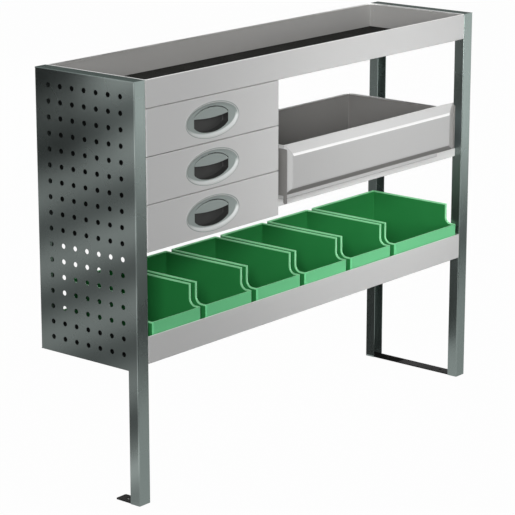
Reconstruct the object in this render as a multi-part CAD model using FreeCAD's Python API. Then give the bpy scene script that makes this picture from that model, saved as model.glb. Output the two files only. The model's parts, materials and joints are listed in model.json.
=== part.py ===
import FreeCAD, Part
import os

# Van shelving unit: two end frames, three shelves, a block of three drawers, a pull-out drawer and six bins.
# Millimetres. +X runs to the right along the unit, +Y to the back, +Z up. The origin is on the floor, in the
# middle of the unit's outer box.

Vector = FreeCAD.Vector

# Whole unit
unit_width = 1330.0
unit_depth = 314.0
unit_height = 1012.0
overrun = 5.0
edge_tolerance = 0.1

# End frames: folded channel posts and rails
post_width = 38.0
post_depth = 29.0
post_wall = 2.0
inner_bend = 1.0
rail_flange = 22.0
side_bottom = 328.0
panel_sheet = 1.5
panel_flange = 14.0
hole_pitch = 38.0
hole_radius = 6.2
hole_side_margin = 10.0
hole_end_margin = 30.0

# Floor plates and bolt holes
foot_thickness = 3.0
foot_length = 78.0
foot_corner = 3.0
floor_bolt_radius = 4.5
floor_bolt_spacing = 180.0
wall_bolt_radius = 4.5
wall_bolt_drop = 110.0
wall_bolt_spacing = 450.0

# Top tray, lower shelf and middle shelf
tray_height = 67.0
shelf_sheet = 1.5
shelf_bend = 1.2
hem_height = 9.0
hem_thickness = 1.5
mat_thickness = 3.0
mat_gap = 2.0
lower_shelf_rise = 14.0
middle_shelf_rise = 14.6
middle_lip_height = 22.0
middle_lip_recess = 20.0
middle_rear_inset = 6.0
middle_notch_gap = 1.5

# Rivets
rivet_radius = 2.0
rivet_head_radius = 3.6
rivet_head_height = 1.4
rivet_clearance = 0.1
rivet_height_shares = (0.3, 0.7)
top_flange_rivet_shares = (0.15, 0.5, 0.85)

# Drawer block
block_width = 474.6
drawer_pitch = 112.2
drawer_names = ("upper", "middle", "lower")
block_sheet = 1.2
block_top_flange = 15.0
block_rear_inset = 4.0
front_behind_gap = 1.5

# Drawer fronts and boxes
front_depth = 24.0
front_sheet = 1.2
front_gap = 1.6
front_bend = 1.6
front_flange = 18.0
front_side_gap = 0.8
box_sheet = 1.2
box_floor_rise = 8.0
box_keeper_gap = 4.5
box_front_drop = 5.0
box_rear_gap = 8.0

# Runner rails, glides and runners
rail_height = 24.0
rail_depth = 10.0
rail_sheet = 1.5
rail_front_gap = 1.0
rail_centre_rise = 38.0
rail_box_gap = 1.5
stop_drop = 4.5
stop_gap = 0.5
glide_length = 60.0
glide_thickness = 1.5
glide_clearance = 0.3
runner_tab_gap = 1.7
runner_side_clearance = 1.0
runner_front_inset = 6.0
lug_length = 20.0
lug_top_clearance = 1.2
drawer_travel = 210.0

# Oval handle: rim, dish, finger pocket, paddle, pin, latch arm and leaf spring
handle_offset = -7.0
handle_rise = 53.0
rim_half_width = 96.0
rim_half_height = 44.0
pocket_half_width = 67.0
pocket_half_height = 31.0
rim_crest_inset = 3.0
rim_height = 2.4
rim_shoulder_inset = 1.0
rim_shoulder_height = 1.6
rim_lap = 4.5
dish_inset_x = 10.0
dish_inset_z = 7.0
dish_depth = 3.5
bowl_wall = 2.0
cup_wall = 2.0
cup_fit = 0.3
mouth_half_width = 61.0
mouth_edge_rise = 8.0
mouth_edge_bow = 4.5
paddle_recess = 4.0
paddle_thickness = 2.5
paddle_gap = 0.8
paddle_top_gap = 2.2
pin_radius = 2.0
pin_clearance = 0.25
pin_rise = 18.0
pin_recess = 12.0
knuckle_radius = 4.5
knuckle_outer = 38.0
knuckle_width = 9.0
ear_gap = 0.5
ear_width = 5.0
ear_drop = 5.0
ear_depth = 3.5
arm_half_width = 7.0
arm_half_height = 3.0
nose_length = 4.0
nose_rise = 4.0
slot_side_gap = 2.0
slot_drop = 9.0
slot_head_gap = 1.5
keeper_gap = 8.0
keeper_sheet = 1.5
keeper_height = 16.0
keeper_nose_gap = 0.5
keeper_rear_gap = 0.8
spring_half_width = 5.0
spring_sheet = 0.6
spring_leg = 24.0
spring_gap = 0.3
spring_tip_gap = 1.0

# Screws of the fronts
screw_radius = 2.0
screw_head_radius = 3.8
screw_head_height = 2.0
screw_clearance = 0.1
screw_tip = 3.0
screw_half_spacing = 150.0

# Pull-out drawer on the middle shelf
pullout_end_gap = 48.9
pullout_bottom_gap = 2.0
pullout_height = 136.0
pullout_rear_inset = 24.0
pullout_stand_off = 8.0
pullout_sheet = 1.2
pullout_rail_rise = 46.0
pullout_front_overhang = 72.0
pullout_field_depth = 12.4
pullout_front_drop = 10.0
pullout_flange = 15.0
bevel_top = 25.4
bevel_bottom = 15.0
bevel_left = 18.0
bevel_right = 34.0
pullout_screw_tip = 1.2
pullout_screw_share = 0.66
cap_thickness = 3.0
cap_depth = 10.0
cap_top_drop = 9.0
cap_tail = 20.0
cap_radius = 4.0
cap_wrap = 20.0
strip_depth = 3.0
strip_lip = 15.0
strip_sheet = 2.0
bracket_sheet = 2.0
bracket_height = 104.0
bracket_foot = 28.0

# Bins
bin_first_gap = 22.0
bin_spacing = 18.0
bin_last_gap = 7.0
bin_width_shares = (1.0, 1.0, 1.0, 1.0, 1.0, 1.6374)
bin_front_gap = 3.5
bin_rear_gap = 21.5
bin_height = 146.0
bin_front_height = 93.5
bin_step_depth = 32.0
bin_step_radius = 15.5
bin_wall = 4.0
bin_corner = 4.0
bin_edge = 0.8
bin_seat_gap = 0.2

# Places that the pieces share
left_x = -unit_width / 2
right_x = unit_width / 2
left_inner = left_x + post_width
right_inner = right_x - post_width
front_proud = pullout_stand_off + pullout_field_depth
front_y = (front_proud - unit_depth) / 2
rear_y = front_y + unit_depth
top_z = unit_height
tray_bottom = top_z - tray_height
lower_bottom = side_bottom + lower_shelf_rise
block_right = left_inner + block_width
side_right_out = block_right
side_right_in = side_right_out - block_sheet
side_left_in = left_inner + block_sheet
block_bottom = tray_bottom - drawer_pitch * len(drawer_names)
block_front = front_y + front_depth + front_behind_gap
middle_shelf_bottom = block_bottom + middle_shelf_rise
block_rear = rear_y - block_rear_inset
rail_start = block_front + rail_front_gap
rail_end = block_rear - box_rear_gap
box_left = side_left_in + rail_depth + rail_box_gap
box_right = side_right_in - rail_depth - rail_box_gap
box_front = front_y + front_depth
box_rear = rail_end - rail_sheet - stop_gap
handle_x = (left_inner + block_right) / 2 + handle_offset
middle_left = side_right_out
middle_front = front_y + middle_lip_recess
middle_rear = rear_y - middle_rear_inset
pullout_left = side_right_out + rail_depth + rail_box_gap
pullout_right = right_inner - pullout_end_gap - cap_thickness - pullout_front_overhang
pullout_bottom = middle_shelf_bottom + middle_lip_height + pullout_bottom_gap
pullout_front_y = front_y - pullout_stand_off
pullout_rear = rear_y - pullout_rear_inset
pullout_top = pullout_bottom + pullout_height
pullout_rail_z = pullout_bottom + pullout_rail_rise
bracket_left = pullout_right + rail_box_gap + rail_depth


# Basic shapes
def block(x0, x1, y0, y1, z0, z1):
    return Part.makeBox(x1 - x0, y1 - y0, z1 - z0, Vector(x0, y0, z0))


def rod(radius, start, end):
    way = end - start
    return Part.makeCylinder(radius, way.Length, start, way)


def fuse(shapes):
    joined = shapes[0]
    if len(shapes) > 1:
        joined = joined.multiFuse(shapes[1:])
    return joined.removeSplitter()


def cut(shape, tools):
    for tool in tools:
        shape = shape.cut(tool)
    return shape


def round_edges(shape, radius, wanted):
    edges = [edge for edge in shape.Edges if wanted(edge)]
    return shape.makeFillet(radius, edges)


def middle(edge):
    return edge.CenterOfMass


def near(value, target):
    return abs(value - target) < edge_tolerance


def oval_wire(half_x, half_z, y):
    oval = Part.Ellipse(Vector(0, 0, 0), half_x, half_z).toShape()
    oval.rotate(Vector(0, 0, 0), Vector(1, 0, 0), 90)
    oval.translate(Vector(0, y, 0))
    return Part.Wire([oval])


def oval_prism(half_x, half_z, y0, y1):
    face = Part.Face(oval_wire(half_x, half_z, y0))
    return face.extrude(Vector(0, y1 - y0, 0))


def oval_loft(rings):
    return Part.makeLoft([oval_wire(*ring) for ring in rings], True, True)


# A folded channel: its web lies on local y = 0, its flanges run to +y and its length to +z
def channel(width, depth, length):
    outer = block(0, width, 0, depth, 0, length)
    outer_bend = inner_bend + post_wall
    outer = round_edges(outer, outer_bend, lambda e: near(middle(e).y, 0) and near(e.Length, length))
    inner = block(post_wall, width - post_wall, post_wall, depth + overrun, -overrun, length + overrun)
    tall = length + overrun + overrun
    inner = round_edges(inner, inner_bend, lambda e: near(middle(e).y, post_wall) and near(e.Length, tall))
    return outer.cut(inner)


def turned(shape, axis, degrees, place):
    shape.rotate(Vector(0, 0, 0), axis, degrees)
    shape.translate(place)
    return shape


# Rivets: the head lies on the start side, the shank ends flush at the end point
def rivet(start, end):
    way = (end - start).normalize()
    head = rod(rivet_head_radius, start - way * rivet_head_height, start)
    return head.fuse(rod(rivet_radius, start, end)).removeSplitter()


def rivet_hole(start, end):
    way = (end - start).normalize()
    return rod(rivet_radius + rivet_clearance, start - way * overrun, end + way * overrun)


def across(side, y, z, sheet):
    inner = left_inner if side < 0 else right_inner
    start = Vector(inner + side * post_wall, y, z)
    end = Vector(inner - side * sheet, y, z)
    return start, end


def post_rivet_rows():
    return front_y + post_depth / 2, rear_y - post_depth / 2


def tray_rivets(side):
    places = []
    for bottom in (tray_bottom, lower_bottom):
        for share in rivet_height_shares:
            for y in post_rivet_rows():
                places.append(across(side, y, bottom + tray_height * share, shelf_sheet))
    return places


def middle_shelf_rivets():
    z = middle_shelf_bottom + middle_lip_height / 2
    front = (middle_front + front_y + post_depth) / 2
    rear = (middle_rear + rear_y - post_depth) / 2
    places = [across(1, y, z, shelf_sheet) for y in (front, rear)]
    for share in rivet_height_shares:
        y = block_front + (middle_rear - block_front) * share
        places.append((Vector(side_right_out + shelf_sheet, y, z), Vector(side_right_in, y, z)))
    return places


def top_flange_rivets():
    places = []
    left = side_left_in + block_top_flange / 2
    right = side_right_in - block_top_flange / 2
    for x in (left, right):
        for share in top_flange_rivet_shares:
            y = block_front + (block_rear - block_front) * share
            places.append((Vector(x, y, tray_bottom - block_sheet), Vector(x, y, tray_bottom + shelf_sheet)))
    return places


def bracket_rivets():
    places = []
    x = bracket_left + bracket_sheet + bracket_foot / 2
    top = middle_shelf_bottom + shelf_sheet + bracket_sheet
    for share in top_flange_rivet_shares:
        y = rail_start + (rail_end - rail_start) * share
        places.append((Vector(x, y, top), Vector(x, y, middle_shelf_bottom)))
    return places


def holes(places):
    return [rivet_hole(start, end) for start, end in places]


# End frames
def front_post(x, side):
    post = channel(post_width, post_depth, top_z - post_wall)
    post.translate(Vector(x, front_y, 0))
    places = tray_rivets(side)
    if side > 0:
        places = places + middle_shelf_rivets()[:1]
    return cut(post, holes(places))


def rear_post(x, side, bottom):
    post = channel(post_width, post_depth, top_z - post_wall - bottom)
    post = turned(post, Vector(0, 0, 1), 180, Vector(x + post_width, rear_y, bottom))
    places = tray_rivets(side)
    if side > 0:
        places = places + middle_shelf_rivets()[1:2]
    bolts = []
    for z in (top_z - wall_bolt_drop, top_z - wall_bolt_drop - wall_bolt_spacing):
        start = Vector(x + post_width / 2, rear_y - post_depth / 2, z)
        bolts.append(rod(wall_bolt_radius, start, start + Vector(0, post_depth, 0)))
    return cut(post, holes(places) + bolts)


def top_rail(x):
    rail = channel(post_width, rail_flange, unit_depth)
    rail = turned(rail, Vector(1, 0, 0), -90, Vector(x, front_y, top_z))
    low = top_z - rail_flange - overrun
    high = top_z - post_wall
    front = block(x - overrun, x + post_width + overrun, front_y - overrun, front_y + post_depth, low, high)
    rear = block(x - overrun, x + post_width + overrun, rear_y - post_depth, rear_y + overrun, low, high)
    return cut(rail, [front, rear])


def bottom_rail(x):
    length = unit_depth - post_depth
    rail = channel(post_width, rail_flange, length)
    rail = turned(rail, Vector(1, 0, 0), 90, Vector(x, rear_y, side_bottom))
    low = side_bottom + post_wall
    high = side_bottom + rail_flange + overrun
    rear = block(x - overrun, x + post_width + overrun, rear_y - post_depth, rear_y + overrun, low, high)
    return rail.cut(rear)


def grid_columns():
    span = unit_depth - 2 * post_depth
    count = int((span - 2 * hole_side_margin) / hole_pitch) + 1
    centre = front_y + unit_depth / 2
    return [centre + hole_pitch * (i - (count - 1) / 2) for i in range(count)]


def grid_rows():
    span = top_z - side_bottom
    count = int((span - 2 * hole_end_margin) / hole_pitch) + 1
    centre = (top_z + side_bottom) / 2
    return [centre + hole_pitch * (i - (count - 1) / 2) for i in range(count)]


def side_panel(x):
    front = front_y + post_depth
    rear = rear_y - post_depth
    low = side_bottom + rail_flange
    high = top_z - rail_flange
    skin = block(x, x + panel_sheet, front, rear, low, high)
    front_fold = block(x, x + panel_flange, front, front + panel_sheet, low, high)
    rear_fold = block(x, x + panel_flange, rear - panel_sheet, rear, low, high)
    panel = fuse([skin, front_fold, rear_fold])
    punches = []
    for y in grid_columns():
        for z in grid_rows():
            punches.append(rod(hole_radius, Vector(x - overrun, y, z), Vector(x + overrun, y, z)))
    return panel.cut(Part.makeCompound(punches))


def floor_plate(x, length, bolt_places):
    left = x + post_wall
    right = x + post_width - post_wall
    front = front_y + post_wall
    plate = block(left, right, front, front_y + length, 0, foot_thickness)
    plate = round_edges(plate, foot_corner, lambda e: near(e.Length, foot_thickness))
    centre = (left + right) / 2
    bolts = []
    for y in bolt_places:
        bolts.append(rod(floor_bolt_radius, Vector(centre, y, -overrun), Vector(centre, y, overrun)))
    return cut(plate, bolts)


# Welded sheets: front and rear run the full width, the two ends and the floor stand between them
def welded_sheets(x0, x1, y0, y1, z0, z1, sheet):
    front = block(x0, x1, y0, y0 + sheet, z0, z1)
    rear = block(x0, x1, y1 - sheet, y1, z0, z1)
    left = block(x0, x0 + sheet, y0 + sheet, y1 - sheet, z0, z1)
    right = block(x1 - sheet, x1, y0 + sheet, y1 - sheet, z0, z1)
    floor = block(x0 + sheet, x1 - sheet, y0 + sheet, y1 - sheet, z0, z0 + sheet)
    return front, rear, left, right, floor


# Shelves: a pan with bent lower edges and, on the trays, a hem inside its upper edge
def pan(x0, x1, y0, y1, z0, height, hem):
    z1 = z0 + height
    front, rear, left, right, floor = welded_sheets(x0, x1, y0, y1, z0, z1, shelf_sheet)
    front = round_edges(front, shelf_bend, lambda e: near(middle(e).z, z0) and near(middle(e).y, y0))
    rear = round_edges(rear, shelf_bend, lambda e: near(middle(e).z, z0) and near(middle(e).y, y1))
    if hem:
        a = shelf_sheet
        b = shelf_sheet + hem_thickness
        low = z1 - hem_height
        front = fuse([front, block(x0 + a, x1 - a, y0 + a, y0 + b, low, z1)])
        rear = fuse([rear, block(x0 + a, x1 - a, y1 - b, y1 - a, low, z1)])
        left = fuse([left, block(x0 + a, x0 + b, y0 + b, y1 - b, low, z1)])
        right = fuse([right, block(x1 - b, x1 - a, y0 + b, y1 - b, low, z1)])
    return Part.makeCompound([front, rear, left, right, floor])


def shelf_tray(bottom):
    shelf = pan(left_inner, right_inner, front_y, rear_y, bottom, tray_height, True)
    return cut(shelf, holes(tray_rivets(-1) + tray_rivets(1)))


def top_tray():
    return cut(shelf_tray(tray_bottom), holes(top_flange_rivets()))


def top_mat():
    edge = shelf_sheet + hem_thickness + mat_gap
    floor = tray_bottom + shelf_sheet
    return block(left_inner + edge, right_inner - edge, front_y + edge, rear_y - edge,
                 floor, floor + mat_thickness)


def middle_shelf():
    shelf = pan(middle_left, right_inner, middle_front, middle_rear,
                middle_shelf_bottom, middle_lip_height, False)
    top = middle_shelf_bottom + middle_lip_height + overrun
    notch = block(middle_left - overrun, block_right + middle_notch_gap, middle_front - overrun, block_front,
                  middle_shelf_bottom - overrun, top)
    return cut(shelf, [notch] + holes(middle_shelf_rivets() + bracket_rivets()))


# Drawer block
def block_side(inner, outer, fold):
    x0, x1 = sorted((inner, outer))
    sheet = block(x0, x1, block_front, block_rear, block_bottom, tray_bottom)
    f0, f1 = sorted((inner, inner + fold * block_top_flange))
    flange = block(f0, f1, block_front, block_rear, tray_bottom - block_sheet, tray_bottom)
    return cut(fuse([sheet, flange]), holes(top_flange_rivets() + middle_shelf_rivets()[2:]))


def block_back():
    low = block_bottom + block_sheet
    high = tray_bottom - block_sheet
    return block(side_left_in, side_right_in, block_rear - block_sheet, block_rear, low, high)


def block_floor():
    high = block_bottom + block_sheet
    return block(side_left_in, side_right_in, block_front, block_rear, block_bottom, high)


# Runner rails: a channel with a stop tab at the front and a closed rear end
def runner_rail(web_x, way, z):
    def slab(reach, y0, y1, z0, z1):
        a, b = sorted((web_x, web_x + way * reach))
        return block(a, b, y0, y1, z0, z1)

    low = z - rail_height / 2
    high = z + rail_height / 2
    web = slab(rail_sheet, rail_start, rail_end, low, high)
    under = slab(rail_depth, rail_start, rail_end, low, low + rail_sheet)
    over = slab(rail_depth, rail_start, rail_end, high - rail_sheet, high)
    tab = slab(rail_depth, rail_start, rail_start + rail_sheet, high - rail_sheet - stop_drop, high)
    end = slab(rail_depth, rail_end - rail_sheet, rail_end, low, high)
    return fuse([web, under, over, tab, end])


def rail_glide(web_x, way, z):
    a, b = sorted((web_x + way * rail_sheet, web_x + way * rail_depth))
    low = z - rail_height / 2 + rail_sheet
    return block(a, b, rail_start, rail_start + glide_length, low, low + glide_thickness)


def runner(web_x, wall_x, way, z):
    a, b = sorted((web_x + way * (rail_sheet + runner_side_clearance), wall_x))
    low = z - rail_height / 2 + rail_sheet + glide_thickness + glide_clearance
    ceiling = z + rail_height / 2 - rail_sheet
    start = rail_start + runner_front_inset
    bar = block(a, b, start, box_rear, low, ceiling - stop_drop - runner_tab_gap)
    lug_start = rail_start + rail_sheet + drawer_travel + stop_gap
    lug = block(a, b, lug_start, lug_start + lug_length, low, ceiling - lug_top_clearance)
    return fuse([bar, lug])


def drawer_bay(index):
    high = tray_bottom - drawer_pitch * index
    return high - drawer_pitch, high


def rail_height_in(index):
    return drawer_bay(index)[0] + rail_centre_rise


def block_rails():
    rails = []
    for index in range(len(drawer_names)):
        z = rail_height_in(index)
        rails.append(runner_rail(side_left_in, 1, z))
        rails.append(runner_rail(side_right_in, -1, z))
    return Part.makeCompound(rails)


def all_glides():
    glides = []
    for index in range(len(drawer_names)):
        z = rail_height_in(index)
        glides.append(rail_glide(side_left_in, 1, z))
        glides.append(rail_glide(side_right_in, -1, z))
    glides.append(rail_glide(side_right_out, 1, pullout_rail_z))
    glides.append(rail_glide(bracket_left, -1, pullout_rail_z))
    return Part.makeCompound(glides)


def latch_nose_top(index):
    return handle_height(index) + pin_rise + arm_half_height + nose_rise


def keepers():
    bars = []
    start = box_front + box_sheet + keeper_gap
    for index in range(len(drawer_names)):
        low = latch_nose_top(index) + keeper_nose_gap
        bars.append(block(side_left_in, side_right_in, start, start + keeper_sheet, low, low + keeper_height))
    return Part.makeCompound(bars)


# Drawers
def handle_height(index):
    return drawer_bay(index)[0] + handle_rise


def front_span(index):
    low, high = drawer_bay(index)
    return low + front_gap / 2, high - front_gap / 2


def front_wall_span(index):
    low, high = drawer_bay(index)
    return low + box_floor_rise, high - box_front_drop


def screw_places(index):
    front_low, front_high = front_span(index)
    wall_low, wall_high = front_wall_span(index)
    low = (wall_low + front_low + front_flange) / 2
    high = (wall_high + front_high - front_flange) / 2
    centre = (left_inner + block_right) / 2
    places = []
    for x in (centre - screw_half_spacing, centre + screw_half_spacing):
        for z in (low, high):
            places.append((x, z))
    return places


def screw(x, y_head, z, grip, tip):
    head = rod(screw_head_radius, Vector(x, y_head, z), Vector(x, y_head + screw_head_height, z))
    shank = rod(screw_radius, Vector(x, y_head - grip - tip, z), Vector(x, y_head, z))
    return head.fuse(shank).removeSplitter()


def screw_hole(x, y, z):
    return rod(screw_radius + screw_clearance, Vector(x, y - overrun, z), Vector(x, y + overrun, z))


def drawer_front(index):
    low, high = front_span(index)
    x0 = left_inner + front_side_gap
    x1 = block_right
    back = box_front
    outer = block(x0, x1, front_y, back, low, high)
    outer = round_edges(outer, front_bend, lambda e: near(middle(e).y, front_y))
    hollow = block(x0 + front_sheet, x1 - front_sheet, front_y + front_sheet, back + overrun,
                   low + front_sheet, high - front_sheet)
    under = block(x0, x1, back - front_sheet, back, low, low + front_flange)
    over = block(x0, x1, back - front_sheet, back, high - front_flange, high)
    front = fuse([outer.cut(hollow), under, over])
    opening = oval_prism(rim_half_width - rim_lap, rim_half_height - rim_lap, -overrun, front_depth / 2)
    opening.translate(Vector(handle_x, front_y, handle_height(index)))
    return cut(front, [opening] + [screw_hole(x, back, z) for x, z in screw_places(index)])


def arm_slot(index, y0, y1):
    z = handle_height(index) + pin_rise
    half = arm_half_width + slot_side_gap
    low = z - arm_half_height - slot_drop
    high = z + arm_half_height + nose_rise + slot_head_gap
    return block(handle_x - half, handle_x + half, y0, y1, low, high)


def drawer_box(index):
    low = drawer_bay(index)[0] + box_floor_rise
    high = latch_nose_top(index) + keeper_nose_gap - box_keeper_gap
    outer = block(box_left, box_right, box_front, box_rear, low, high)
    hollow = block(box_left + box_sheet, box_right - box_sheet, box_front + box_sheet, box_rear - box_sheet,
                   low + box_sheet, high + overrun)
    front = block(box_left, box_right, box_front, box_front + box_sheet, *front_wall_span(index))
    box = fuse([outer.cut(hollow), front])
    slot = arm_slot(index, box_front - overrun, box_front + box_sheet + overrun)
    return cut(box, [slot] + [screw_hole(x, box_front, z) for x, z in screw_places(index)])


def drawer_runners(index):
    z = rail_height_in(index)
    left = runner(side_left_in, box_left, 1, z)
    right = runner(side_right_in, box_right, -1, z)
    return Part.makeCompound([left, right])


def drawer_screws(index):
    head = box_front + box_sheet
    grip = box_sheet + front_sheet
    return Part.makeCompound([screw(x, head, z, grip, screw_tip) for x, z in screw_places(index)])


# Handle parts are made about the handle's centre on the front's face, then moved to their drawer
def at_handle(shape, index):
    shape.translate(Vector(handle_x, front_y, handle_height(index)))
    return shape


def handle_bezel(index):
    crest = (rim_half_width - rim_crest_inset, rim_half_height - rim_crest_inset, -rim_height)
    shoulder = (rim_half_width - rim_shoulder_inset, rim_half_height - rim_shoulder_inset,
                -rim_shoulder_height)
    rim = oval_loft([(rim_half_width, rim_half_height, 0), shoulder, crest])
    lap = rim_lap + cup_fit
    bowl = oval_prism(rim_half_width - lap, rim_half_height - lap, 0, dish_depth + bowl_wall)
    slope = (rim_half_width - dish_inset_x, rim_half_height - dish_inset_z, 0)
    dish = oval_loft([crest, slope, (pocket_half_width, pocket_half_height, dish_depth)])
    core = oval_prism(pocket_half_width + cup_wall, pocket_half_height + cup_wall, dish_depth, front_depth)
    pocket = oval_prism(pocket_half_width, pocket_half_height, -overrun, front_depth - cup_wall)
    cup = cut(fuse([rim, bowl, core]), [dish, pocket])
    lands = []
    for way in (-1, 1):
        a, b = sorted((way * mouth_half_width, way * (pocket_half_width + cup_wall)))
        land = block(a, b, paddle_recess, front_depth, -pocket_half_height, pocket_half_height)
        lands.append(land.common(core))
        a, b = sorted((way * (knuckle_outer + ear_gap), way * (knuckle_outer + ear_gap + ear_width)))
        ear = block(a, b, pin_recess - ear_depth, pin_recess + ear_depth,
                    pin_rise - ear_drop, pocket_half_height)
        lands.append(ear.common(core))
    bezel = fuse([cup] + lands)
    reach = knuckle_outer + ear_gap + ear_width
    bore = rod(pin_radius, Vector(-reach, pin_recess, pin_rise), Vector(reach, pin_recess, pin_rise))
    bezel = at_handle(bezel.cut(bore), index)
    back = front_y + front_depth
    return bezel.cut(arm_slot(index, back - cup_wall - overrun, back + overrun))


def paddle_pin(index):
    reach = knuckle_outer + ear_gap + ear_width
    pin = rod(pin_radius, Vector(-reach, pin_recess, pin_rise), Vector(reach, pin_recess, pin_rise))
    return at_handle(pin, index)


def paddle_plate():
    half = mouth_half_width - paddle_gap
    back = paddle_recess + paddle_thickness
    half_x = pocket_half_width - paddle_top_gap
    half_z = pocket_half_height - paddle_top_gap
    plate = oval_prism(half_x, half_z, paddle_recess, back)
    left = Vector(-half, paddle_recess, mouth_edge_rise)
    dip = Vector(0, paddle_recess, mouth_edge_rise - mouth_edge_bow)
    right = Vector(half, paddle_recess, mouth_edge_rise)
    upper_right = Vector(half, paddle_recess, pocket_half_height)
    upper_left = Vector(-half, paddle_recess, pocket_half_height)
    edge = Part.Arc(left, dip, right).toShape()
    sides = Part.makePolygon([right, upper_right, upper_left, left])
    outline = Part.Face(Part.Wire([edge] + sides.Edges))
    return plate.common(outline.extrude(Vector(0, paddle_thickness, 0)))


def handle_paddle(index):
    pieces = [paddle_plate()]
    back = paddle_recess + paddle_thickness
    for way in (-1, 1):
        a, b = sorted((way * knuckle_outer, way * (knuckle_outer - knuckle_width)))
        barrel = rod(knuckle_radius, Vector(a, pin_recess, pin_rise), Vector(b, pin_recess, pin_rise))
        neck = block(a, b, back - paddle_thickness / 2, pin_recess,
                     pin_rise - pin_radius, pin_rise + pin_radius)
        pieces = pieces + [barrel, neck]
    hook_start = front_depth + box_sheet + keeper_gap + keeper_sheet + keeper_rear_gap
    hook_end = hook_start + nose_length
    low = pin_rise - arm_half_height
    high = pin_rise + arm_half_height
    pieces.append(block(-arm_half_width, arm_half_width, back - paddle_thickness / 2, hook_end, low, high))
    pieces.append(block(-arm_half_width, arm_half_width, hook_start, hook_end, high, high + nose_rise))
    paddle = fuse(pieces)
    start = Vector(-rim_half_width, pin_recess, pin_rise)
    bore = rod(pin_radius + pin_clearance, start, Vector(rim_half_width, pin_recess, pin_rise))
    return at_handle(paddle.cut(bore), index)


def latch_spring(index):
    top = pin_rise - arm_half_height - spring_gap
    start = front_depth + box_sheet
    end = start + keeper_gap - spring_tip_gap
    leg = block(-spring_half_width, spring_half_width, start, start + spring_sheet, top - spring_leg, top)
    leaf = block(-spring_half_width, spring_half_width, start, end, top - spring_sheet, top)
    return at_handle(fuse([leg, leaf]), index)


# Pull-out drawer
def pullout_front_limits():
    right = pullout_right + pullout_front_overhang
    return pullout_left, right, pullout_bottom + pullout_front_drop, pullout_top


def pullout_screw_places():
    low, high = pullout_front_limits()[2:]
    centre = (pullout_left + pullout_right) / 2
    inset = pullout_flange * pullout_screw_share
    places = []
    for x in (centre - screw_half_spacing, centre + screw_half_spacing):
        for z in (low + inset, high - inset):
            places.append((x, z))
    return places


def pullout_box():
    sheets = welded_sheets(pullout_left, pullout_right, pullout_front_y, pullout_rear,
                           pullout_bottom, pullout_top, pullout_sheet)
    box = Part.makeCompound(sheets)
    return cut(box, [screw_hole(x, pullout_front_y, z) for x, z in pullout_screw_places()])


def field_frame(y, grow, depth_in):
    left, right, low, high = pullout_front_limits()
    a = left + grow * bevel_left + depth_in
    b = right - grow * bevel_right - depth_in
    c = low + grow * bevel_bottom + depth_in
    d = high - grow * bevel_top - depth_in
    corners = [Vector(a, y, c), Vector(b, y, c), Vector(b, y, d), Vector(a, y, d), Vector(a, y, c)]
    return Part.makePolygon(corners)


def pullout_front():
    field_y = pullout_front_y - pullout_field_depth
    outer = Part.makeLoft([field_frame(pullout_front_y, 0, 0), field_frame(field_y, 1, 0)], True, True)
    hollow = Part.makeLoft([field_frame(pullout_front_y, 0, pullout_sheet),
                            field_frame(field_y + pullout_sheet, 1, pullout_sheet)], True, True)
    left, right, low, high = pullout_front_limits()
    back = pullout_front_y
    under = block(left, right, back - pullout_sheet, back, low, low + pullout_flange)
    over = block(left, right, back - pullout_sheet, back, high - pullout_flange, high)
    drills = [screw_hole(x, back, z) for x, z in pullout_screw_places()]
    folds = [cut(fold.common(outer), drills) for fold in (under, over)]
    return fuse([outer.cut(hollow)] + folds)


# The left end cap lies on the box's side and has a tail below the front
def left_end_cap():
    x0 = pullout_left - cap_thickness
    start = pullout_front_y - cap_depth
    low = pullout_bottom + pullout_front_drop
    high = pullout_top - cap_top_drop
    plate = block(x0, pullout_left, start, pullout_front_y + cap_wrap, low, high)
    tail = block(x0, pullout_left, start, pullout_front_y, low - cap_tail, low)
    cap = fuse([plate, tail])
    foot = low - cap_tail
    return round_edges(cap, cap_radius, lambda e: near(e.Length, cap_thickness) and (
        near(middle(e).z, high) or near(middle(e).z, foot)))


# The right end cap is a strip on the front's end with a lip behind the front's folds
def right_end_cap():
    x0 = pullout_front_limits()[1]
    low = pullout_bottom + pullout_front_drop
    high = pullout_top - cap_top_drop
    back = pullout_front_y + strip_sheet
    strip = block(x0, x0 + cap_thickness, pullout_front_y - strip_depth, back, low, high)
    lip = block(x0 - strip_lip, x0, pullout_front_y, back, low, high)
    return fuse([strip, lip])


def pullout_rails():
    left = runner_rail(side_right_out, 1, pullout_rail_z)
    right = runner_rail(bracket_left, -1, pullout_rail_z)
    return Part.makeCompound([left, right])


def pullout_runners():
    left = runner(side_right_out, pullout_left, 1, pullout_rail_z)
    right = runner(bracket_left, pullout_right, -1, pullout_rail_z)
    return Part.makeCompound([left, right])


def rail_bracket():
    low = middle_shelf_bottom + shelf_sheet
    right = bracket_left + bracket_sheet
    upright = block(bracket_left, right, rail_start, rail_end, low, low + bracket_height)
    foot = block(bracket_left, right + bracket_foot, rail_start, rail_end, low, low + bracket_sheet)
    return cut(fuse([upright, foot]), holes(bracket_rivets()))


def pullout_screws():
    head = pullout_front_y + pullout_sheet
    grip = pullout_sheet + pullout_sheet
    screws = [screw(x, head, z, grip, pullout_screw_tip) for x, z in pullout_screw_places()]
    return Part.makeCompound(screws)


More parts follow.
